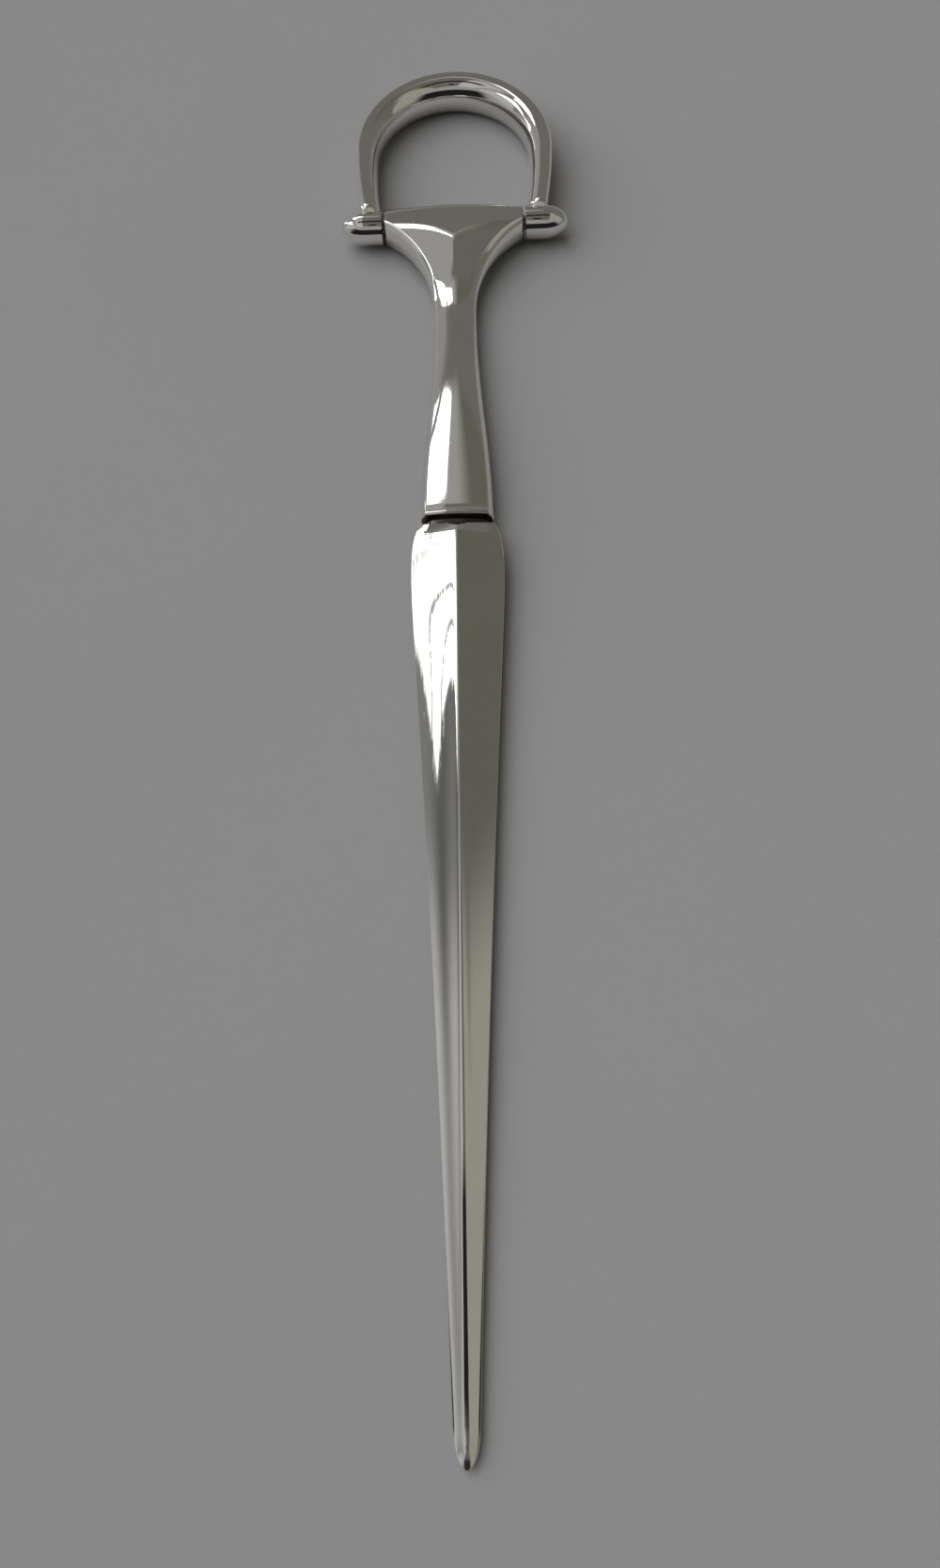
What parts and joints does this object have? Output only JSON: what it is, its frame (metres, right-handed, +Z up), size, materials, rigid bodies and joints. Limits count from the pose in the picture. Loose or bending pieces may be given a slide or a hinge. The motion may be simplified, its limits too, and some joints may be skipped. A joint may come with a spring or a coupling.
{
  "type": "letter opener",
  "caption": "Polished silver letter opener: double-edged ridged blade, T-shaped handle and a horseshoe bow that swings on a pin between two domed bosses.",
  "frame": {"origin": "middle of the opener's footprint, on the surface that it lies on", "axes": "+Y along the opener from the blade's tip to the bow, +X along the hinge line, +Z up"},
  "size_m": [0.0434, 0.25, 0.0074],
  "materials": {
    "polished_silver": "mirror-polished silver with fine hairline wear",
    "blade_silver": "mirror-polished silver, faintly brushed along the blade",
    "pin_steel": "turned"
  },
  "bodies": {
    "opener": {"handle": "polished_silver", "collar": "polished_silver", "blade": "blade_silver"},
    "ring": {"ring_bow": "polished_silver", "left_boss": "polished_silver", "right_boss": "polished_silver", "hinge_pin": "pin_steel"}
  },
  "joints": [
    {"name": "ring_swing", "type": "hinge", "parent": "opener", "child": "ring", "pos_m": [0, 0.08582, 0.0037], "axis": [1, 0, 0], "range_deg": [-169.8, 171.2]}
  ]
}
